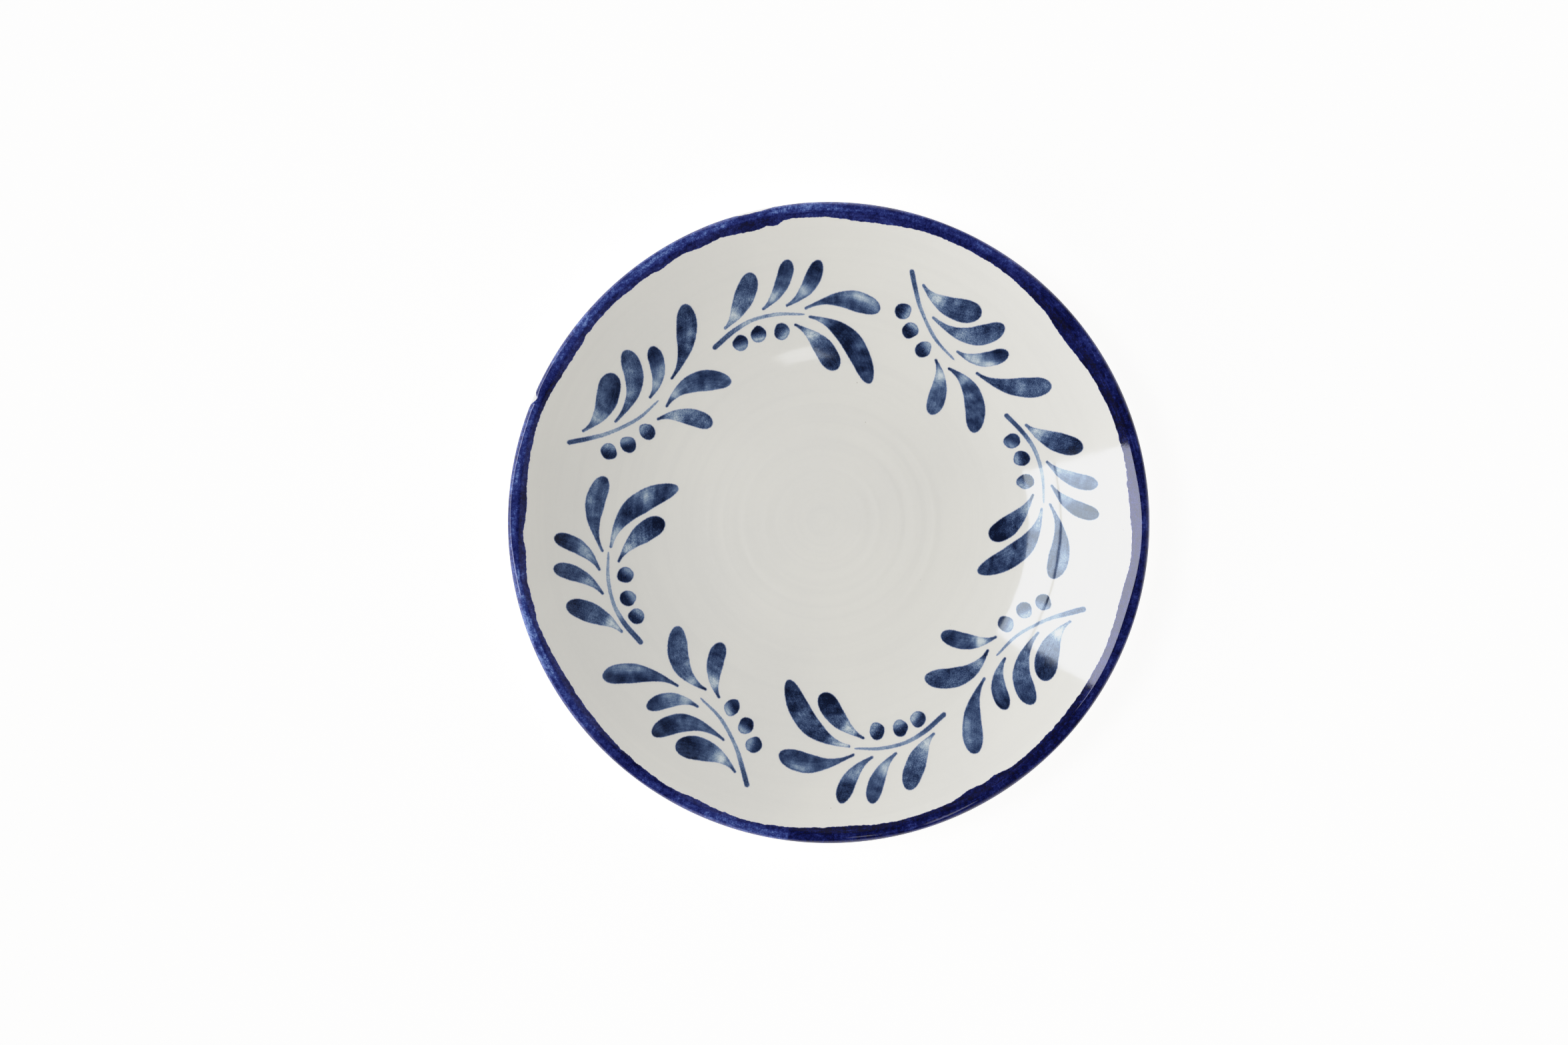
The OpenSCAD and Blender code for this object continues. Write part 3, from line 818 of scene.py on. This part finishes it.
def white_glaze(n):
    """Colour, roughness and surface of the white glaze. Every piece asks for the same, so they run on into each other."""
    cloud = n.noise(14.0, 3.0, 0.55)
    fine = n.noise(520.0, 3.0, 0.6)
    c = n.mix(n.step(cloud, 0.30, 0.72), (0.725, 0.717, 0.688, 1), (0.755, 0.745, 0.708, 1))
    c = n.mix(n.math("MULTIPLY", n.step(fine, 0.35, 0.75), 0.10), c, (0.80, 0.79, 0.76, 1))
    # the glaze lies a hair thicker in the grooves left by the throwing, and faint darker rings round the plate's axis
    # are painted shade of those grooves
    x, y, z = n.xyz()
    x, y = n.math("ADD", x, 0.0023), n.math("ADD", y, -0.0008)
    r = n.math("POWER", n.math("ADD", n.math("MULTIPLY", x, x), n.math("MULTIPLY", y, y)), 0.5)
    groove = n.noise(1.0, 3.0, 0.6, n.vec(n.math("MULTIPLY", r, 260.0), n.math("MULTIPLY", x, 7.0), n.math("MULTIPLY", y, 7.0)))
    c = n.mix(n.math("MULTIPLY", n.step(groove, 0.42, 0.70), 0.16), c, (0.66, 0.655, 0.635, 1))
    # a very few tiny pinholes and iron specks
    sp = n.voronoi(75.0)
    speck = n.math("MULTIPLY", n.step(sp, 0.030, 0.018), n.step(n.noise(23.0, 0.0), 0.60, 0.66))
    c = n.mix(n.math("MULTIPLY", speck, 0.40), c, (0.33, 0.29, 0.24, 1))
    rough = n.step(n.noise(90.0, 2.0), 0.2, 0.8, 0.035, 0.060)
    peel = n.noise(120.0, 2.0, 0.5)
    return c, rough, peel


def mat_white(name):
    n = N(name)
    c, rough, peel = white_glaze(n)
    return n.shade(c, rough, n.bump(peel, 0.00004, 0.35))


def mat_back(name):
    n = N(name)
    c, rough, peel = white_glaze(n)
    x, y, z = n.xyz()
    r = n.math("POWER", n.math("ADD", n.math("MULTIPLY", x, x), n.math("MULTIPLY", y, y)), 0.5)
    # thicker, faintly blue glaze where it has run down to the foot, thin and creamy on the turning ridges
    near = n.math("MULTIPLY", n.step(r, 0.0835, 0.0795), n.step(z, 0.012, 0.006))
    c = n.mix(n.math("MULTIPLY", near, 0.55), c, (0.66, 0.69, 0.685, 1))
    ridge = n.noise(1.0, 2.0, 0.5, n.vec(n.math("MULTIPLY", r, 420.0), n.math("MULTIPLY", x, 6.0), n.math("MULTIPLY", y, 6.0)))
    c = n.mix(n.math("MULTIPLY", n.step(ridge, 0.52, 0.75), 0.30), c, (0.70, 0.665, 0.60, 1))
    return n.shade(c, rough, n.bump(n.math("ADD", peel, n.math("MULTIPLY", ridge, 0.6)), 0.00006, 0.5))


def mat_clay(name, glaze_line):
    n = N(name)
    grain = n.noise(2600.0, 4.0, 0.65)
    patch = n.noise(60.0, 3.0, 0.6)
    c = n.mix(n.step(patch, 0.3, 0.7), (0.60, 0.545, 0.455, 1), (0.68, 0.625, 0.535, 1))
    c = n.mix(n.math("MULTIPLY", n.step(grain, 0.45, 0.70), 0.45), c, (0.74, 0.70, 0.62, 1))
    grog = n.voronoi(900.0)
    c = n.mix(n.math("MULTIPLY", n.step(grog, 0.16, 0.08), 0.5), c, (0.42, 0.35, 0.27, 1))
    rough = n.step(grain, 0.2, 0.8, 0.62, 0.86)
    h = grain
    if not glaze_line:
        return n.shade(c, rough, n.bump(h, 0.00008, 0.6), spec=0.35)
    x, y, z = n.xyz()
    # the glaze stops in a wavering line a little above the edge that stands on the table, with a toasted edge below it
    wav = n.noise(45.0, 2.0, 0.5)
    up = n.math("SUBTRACT", z, n.math("ADD", 0.00105, n.math("MULTIPLY", wav, 0.0009)))
    g = n.step(up, -0.00004, 0.00006)
    toast = n.math("MULTIPLY", n.step(up, -0.0007, -0.00005), 0.55)
    c = n.mix(toast, c, (0.50, 0.37, 0.24, 1))
    wc, wr, peel = white_glaze(n)
    c = n.mix(g, c, wc)
    rough = n.math("ADD", n.math("MULTIPLY", g, wr), n.math("MULTIPLY", n.math("SUBTRACT", 1.0, g), rough))
    h = n.math("ADD", n.math("MULTIPLY", n.math("SUBTRACT", 1.0, g), n.math("MULTIPLY", grain, 0.6)), n.math("MULTIPLY", n.step(up, -0.0001, 0.0003), 1.0))
    return n.shade(c, rough, n.bump(h, 0.00012, 0.7), spec=0.5)


def ink(r, g, b, k=1.10):
    """A colour that shows as r, g, b under the studio light"""
    c = lin(r, g, b)
    return (max(c[0] - 0.004, 0) * k, max(c[1] - 0.004, 0) * k, max(c[2] - 0.004, 0) * k, 1.0)


def paint(name, kind):
    n = N(name)
    wc, rough, peel = white_glaze(n)
    edge, tone, run, side, seed = (n.attr(k) for k in ("edge", "tone", "run", "side", "seed"))
    sd = n.math("MULTIPLY", seed, 7.31)
    grain = n.noise(2300.0, 3.0, 0.62)
    clump = n.noise(900.0, 2.0, 0.5)
    # bristle streaks run with the stroke, and soft blotches show where the brush was loaded
    streak = n.noise(1.0, 2.0, 0.5, n.vec(n.math("MULTIPLY", run, 0.14), n.math("MULTIPLY", side, 1.3), sd))
    blotch = n.noise(1.0, 2.0, 0.5, n.vec(n.math("MULTIPLY", run, 0.26), n.math("MULTIPLY", side, 0.16), sd))
    rough_mark = n.step(n.noise(1.0, 0.0, 0.5, n.vec(sd, 0.37, 0.91)), 0.35, 0.65, 0.45, 1.0)
    soft = 0.70 if kind == "leaf" else 0.35
    d = n.math("ADD", n.math("MULTIPLY_ADD", tone, 1.12, -0.12), n.math("MULTIPLY", n.math("SUBTRACT", blotch, 0.5), soft))
    d = n.math("ADD", d, n.math("MULTIPLY", n.math("SUBTRACT", streak, 0.5), 0.26))
    # the colour lies deeper in the faint grooves left by the throwing, which run round the plate
    x, y, z = n.xyz()
    r = n.math("POWER", n.math("ADD", n.math("MULTIPLY", x, x), n.math("MULTIPLY", y, y)), 0.5)
    groove = n.noise(1.0, 2.0, 0.5, n.vec(n.math("MULTIPLY", r, 430.0), n.math("MULTIPLY", x, 9.0), n.math("MULTIPLY", y, 9.0)))
    low = n.step(r, 0.100, 0.084, 0.14, 0.50)
    d = n.math("ADD", d, n.math("MULTIPLY", n.math("SUBTRACT", groove, 0.5), low))
    g = n.math("MULTIPLY", n.math("SUBTRACT", grain, 0.5), 0.95)
    g = n.math("ADD", g, n.math("MULTIPLY", n.math("SUBTRACT", clump, 0.5), 0.24))
    d = n.math("ADD", d, n.math("MULTIPLY", g, rough_mark))
    c = n.ramp(d, [(0.0, ink(194, 202, 206)), (0.14, ink(164, 177, 190)), (0.30, ink(126, 144, 168)), (0.45, ink(90, 109, 142)), (0.60, ink(62, 79, 113)), (0.76, ink(39, 53, 86)), (0.90, ink(21, 32, 60)), (1.0, ink(12, 20, 43))])
    # the colour is bluer and thinner in a fine line along its edge
    fringe = n.math("MULTIPLY", n.step(edge, 0.50, 0.0), 0.50)
    c = n.mix(fringe, c, ink(80, 108, 170))
    wob = n.math("MULTIPLY", n.math("SUBTRACT", n.noise(1300.0, 3.0), 0.5), 0.50)
    a = n.step(n.math("ADD", edge, wob), -0.26, 0.30)
    c = n.mix(a, wc, c)
    return n.shade(c, rough, n.bump(peel, 0.00004, 0.35), spec=0.56, tint=(0.88, 0.96, 1.0))


def cobalt(name):
    n = N(name)
    wc, rough, peel = white_glaze(n)
    e_in, e_out, crest, turn, pale, pool_and_shade = (n.attr(k) for k in ("e_in", "e_out", "crest", "turn", "pale", "pool_and_shade"))
    grain = n.noise(1700.0, 3.0, 0.65)
    clump = n.noise(620.0, 3.0, 0.6)
    big = n.noise(120.0, 2.0, 0.5)
    brush = n.noise(1.0, 3.0, 0.55, n.vec(n.math("MULTIPLY", turn, 0.10), n.math("MULTIPLY", crest, 0.9), 3.3))
    d = n.math("ADD", 0.515, n.math("MULTIPLY", n.math("SUBTRACT", clump, 0.5), 0.95))
    d = n.math("ADD", d, n.math("MULTIPLY", n.math("SUBTRACT", grain, 0.5), 0.85))
    d = n.math("ADD", d, n.math("MULTIPLY", n.math("SUBTRACT", brush, 0.5), -0.55))
    d = n.math("ADD", d, n.math("MULTIPLY", n.math("SUBTRACT", big, 0.5), 0.55))
    # colour pools darker in places, and painted shade darkens it along the right hand side
    inner = n.step(crest, 1.2, -1.6)
    lip = n.math("MULTIPLY", n.step(crest, -0.8, 0.9), n.step(crest, 5.2, 3.2))
    d = n.math("SUBTRACT", d, n.math("MULTIPLY", n.math("MULTIPLY", pool_and_shade, n.step(brush, 0.70, 0.50)), 0.34))
    # and breaks pale and speckled along the crest of the lip, where a painted reflection also makes it paler on the
    # left
    d = n.math("ADD", d, n.math("MULTIPLY", n.math("MULTIPLY", pale, lip), 0.28))
    d = n.math("SUBTRACT", d, n.math("MULTIPLY", inner, 0.06))
    c = n.ramp(d, [(0.0, ink(4, 6, 34)), (0.24, ink(13, 18, 64)), (0.46, ink(28, 35, 92)), (0.64, ink(42, 52, 114)), (0.82, ink(64, 82, 146)), (1.0, ink(108, 130, 184))])
    # thin colour at the ragged inner edge is a brighter blue
    c = n.mix(n.math("MULTIPLY", n.step(e_in, 0.36, 0.02), 0.50), c, ink(56, 70, 150))
    wob = n.math("MULTIPLY", n.math("SUBTRACT", n.noise(800.0, 3.0, 0.6), 0.5), 0.8)
    a = n.math("MULTIPLY", n.step(n.math("ADD", e_in, wob), -0.14, 0.16), n.step(n.math("ADD", e_out, wob), -0.10, 0.20))
    c = n.mix(a, wc, c)
    return n.shade(c, rough, n.bump(n.math("ADD", peel, n.math("MULTIPLY", clump, 0.25)), 0.00004, 0.45), spec=0.50, tint=(0.86, 0.85, 1.0))


m_face = mat_white("white_glaze_face")
m_back = mat_back("white_glaze_back")
m_clay = mat_clay("biscuit", False)
m_foot = mat_clay("bare_foot", True)
m_leaf = paint("blue_leaf", "leaf")
m_stem = paint("blue_stem", "stem")
m_berry = paint("blue_berry", "berry")
m_band = cobalt("cobalt_band")

pieces = [
    (clay, "clay_body", "biscuit", m_clay),
    (foot, "foot_ring", "bare_foot", m_foot),
    (face, "face_glaze", "white_glaze", m_face),
    (back, "back_glaze", "white_glaze", m_back),
    (well, "foot_well_glaze", "white_glaze", m_back),
    (band, "rim_band", "cobalt_band", m_band),
]
for i in range(1, 9):
    pieces += [(made[f"sprig_{i}_stem"], f"sprig_{i}_stem", "blue_stem", m_stem),
               (made[f"sprig_{i}_leaves"], f"sprig_{i}_leaves", "blue_leaf", m_leaf),
               (made[f"sprig_{i}_berries"], f"sprig_{i}_berries", "blue_berry", m_berry)]
for ob, node, slot, mat in pieces:
    ob.data.materials.append(mat)
    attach(ob, "root")
    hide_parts(node)

# ------------------------------------------------------------------ floor, light and camera
fm = bpy.data.meshes.new("floor")
fm.from_pydata([(-6, -6, 0), (6, -6, 0), (6, 6, 0), (-6, 6, 0)], [], [(0, 1, 2, 3)])
floor = bpy.data.objects.new("floor", fm)
bpy.context.scene.collection.objects.link(floor)
n = N("pale_floor")
fcol = n.mix(n.step(n.noise(3.0, 3.0), 0.3, 0.7), (0.90, 0.90, 0.895, 1), (0.92, 0.92, 0.915, 1))
p = n.t.nodes.new("ShaderNodeBsdfPrincipled")
n.put(p.inputs["Base Color"], fcol)
p.inputs["Roughness"].default_value = 0.9
p.inputs["Specular IOR Level"].default_value = 0.1
p.inputs["Emission Color"].default_value = (1, 1, 1, 1)
p.inputs["Emission Strength"].default_value = 1.00
n.t.links.new(p.outputs[0], n.out.inputs[0])
fm.materials.append(n.m)


def area(name, pos, aim, size, radiance, spin=0.0, color=(1, 1, 1)):
    """A soft box that looks from pos at aim. size is (width, height) in metres, radiance in W per m2 per sr."""
    li = bpy.data.lights.new(name, "AREA")
    li.shape = "RECTANGLE"
    li.size, li.size_y = size
    li.energy = radiance * math.pi * size[0] * size[1]
    li.color = color
    ob = bpy.data.objects.new(name, li)
    bpy.context.scene.collection.objects.link(ob)
    ob.location = pos
    d = Vector(aim) - Vector(pos)
    q = d.to_track_quat("-Z", "Y")
    ob.rotation_euler = (q.to_matrix().to_4x4() @ Matrix.Rotation(spin, 4, "Z")).to_euler()
    return ob


def on_dome(az, tilt, dist, z0=0.018):
    a, t = math.radians(az), math.radians(tilt)
    return (dist * math.sin(t) * math.cos(a), dist * math.sin(t) * math.sin(a), z0 + dist * math.cos(t))


def curtain(name, az0, az1, z0, z1, radiance, parts=3):
    """A tall soft box that stands upright and curves round the plate from az0 to az1, in a few flat parts edge to edge"""
    step = math.radians(az1 - az0) / parts
    for k in range(parts):
        a = math.radians(az0) + (k + 0.5) * step
        dist = 1.300 * math.cos(step / 2)
        pos = Vector((dist * math.cos(a), dist * math.sin(a), (z0 + z1) / 2))
        aim = pos - Vector((math.cos(a), math.sin(a), 0))
        area(f"{name}_{k + 1}", pos, aim, (2 * dist * math.tan(step / 2), z1 - z0), radiance, color=(0.95, 0.99, 1.05))


# a tall soft box on the left, in two tiers with a narrow bar between them
curtain("soft_box_upper", 145.9, 195.2, 3.14, 4.30, 8.5)
curtain("soft_box_lower", 148.2, 194.65, 1.50, 3.00, 8.5)
# a small window high up on the near side
area("small_window", (0.127, -0.522, 3.15), (-0.012, 0.0735, 0.010), (0.133, 0.156), 2.8, spin=0.25)

# the room: dark straight above, pale walls, and more light from the left than from the right
world = bpy.data.worlds.new("studio")
bpy.context.scene.world = world
world.use_nodes = True
wt = world.node_tree
bg = wt.nodes["Background"]


def wmath(op, a, b=0.0):
    n = wt.nodes.new("ShaderNodeMath")
    n.operation = op
    for k, v in enumerate((a, b)):
        if isinstance(v, bpy.types.NodeSocket):
            wt.links.new(v, n.inputs[k])
        else:
            n.inputs[k].default_value = v
    return n.outputs[0]


def wstep(x, a, b):
    n = wt.nodes.new("ShaderNodeMapRange")
    n.interpolation_type = "SMOOTHSTEP"
    wt.links.new(x, n.inputs[0])
    n.inputs[1].default_value, n.inputs[2].default_value = a, b
    return n.outputs[0]


sep = wt.nodes.new("ShaderNodeSeparateXYZ")
wt.links.new(wt.nodes.new("ShaderNodeTexCoord").outputs["Generated"], sep.inputs[0])
wx, wy, wz = sep.outputs
LEFT = math.radians(200)
along = wmath("ADD", wmath("MULTIPLY", wx, math.cos(LEFT)), wmath("MULTIPLY", wy, math.sin(LEFT)))
across = wmath("POWER", wmath("MAXIMUM", wmath("SUBTRACT", 1.0, wmath("MULTIPLY", wz, wz)), 1e-4), 0.5)
near_side = wmath("MAXIMUM", wmath("ADD", 0.5, wmath("MULTIPLY", wmath("DIVIDE", along, across), 0.5)), 0.0)
lobe = wmath("POWER", near_side, 1.6)
far = wmath("POWER", wmath("MAXIMUM", wmath("SUBTRACT", 1.0, near_side), 0.0), 2.5)
tilt = wmath("MULTIPLY", wmath("ARCCOSINE", wz), 180 / math.pi)
rise = wstep(tilt, 38.0, 70.0)
# a pale wall on the right and another behind
right = wmath("POWER", wmath("MAXIMUM", wmath("DIVIDE", wx, across), 0.0), 6.0)
behind = wmath("POWER", wmath("MAXIMUM", wmath("DIVIDE", wy, across), 0.0), 3.0)
walls = wmath("ADD", wmath("MULTIPLY", right, 0.05), wmath("MULTIPLY", behind, 0.50))
level = wmath("ADD", 0.115, wmath("MULTIPLY", rise, wmath("ADD", wmath("ADD", 0.36, walls), wmath("MULTIPLY", lobe, 1.56))))
# on the right the wall is lit high up and dark low down
high = wmath("SUBTRACT", wstep(tilt, 28.0, 44.0), wstep(tilt, 56.0, 70.0))
low = wmath("SUBTRACT", wstep(tilt, 60.0, 74.0), wstep(tilt, 84.0, 88.0))
level = wmath("ADD", level, wmath("MULTIPLY", far, wmath("SUBTRACT", wmath("MULTIPLY", high, 0.34), wmath("MULTIPLY", low, 0.25))))
level = wmath("ADD", level, wmath("MULTIPLY", wstep(tilt, 76.0, 86.0), 0.40))
bg.inputs[0].default_value = (1.03, 1.0, 0.935, 1)
wt.links.new(level, bg.inputs[1])

# the camera looks straight down, and the plate is 67 of 2352 pixels right of the middle of the frame
cam = bpy.data.cameras.new("camera")
cam_ob = bpy.data.objects.new("camera", cam)
bpy.context.scene.collection.objects.link(cam_ob)
bpy.context.scene.camera = cam_ob
cam.sensor_width = 36.0
HEIGHT = 1.60
wide = 2 * R_OUT * MM * 2352 / 963.8
cam.lens = 36.0 * (HEIGHT - 0.0243) / wide
cam_ob.location = (-67 / 963.8 * 2 * R_OUT * MM, 0.0, HEIGHT)
cam_ob.rotation_euler = (0, 0, 0)
cam.clip_start = 0.01
cam.clip_end = 50

# the photograph's tones: straight through the middle, with a soft shoulder at the top
vs = bpy.context.scene.view_settings
vs.view_transform = "Standard"
vs.look = "None"
vs.exposure = 0.055
vs.gamma = 1.0
vs.use_curve_mapping = True
cm = vs.curve_mapping
cm.black_level = (0, 0, 0)
cm.white_level = (3.0, 3.0, 3.0)
cu = cm.curves[3]
pts = [(0.0, 0.0), (0.10, 0.30), (0.20, 0.60), (0.233, 0.69), (0.267, 0.757), (0.30, 0.80), (0.333, 0.826), (0.373, 0.847), (0.433, 0.870), (0.533, 0.915), (0.667, 0.965), (1.0, 1.0)]
cu.points[0].location = pts[0]
cu.points[-1].location = pts[-1]
for q in pts[1:-1]:
    cu.points.new(*q)
blue = cm.curves[2]
for q in ((0.80, 0.80), (0.86, 0.838)):
    blue.points.new(*q)
for k in blue.points:
    k.handle_type = "VECTOR"
cm.update()
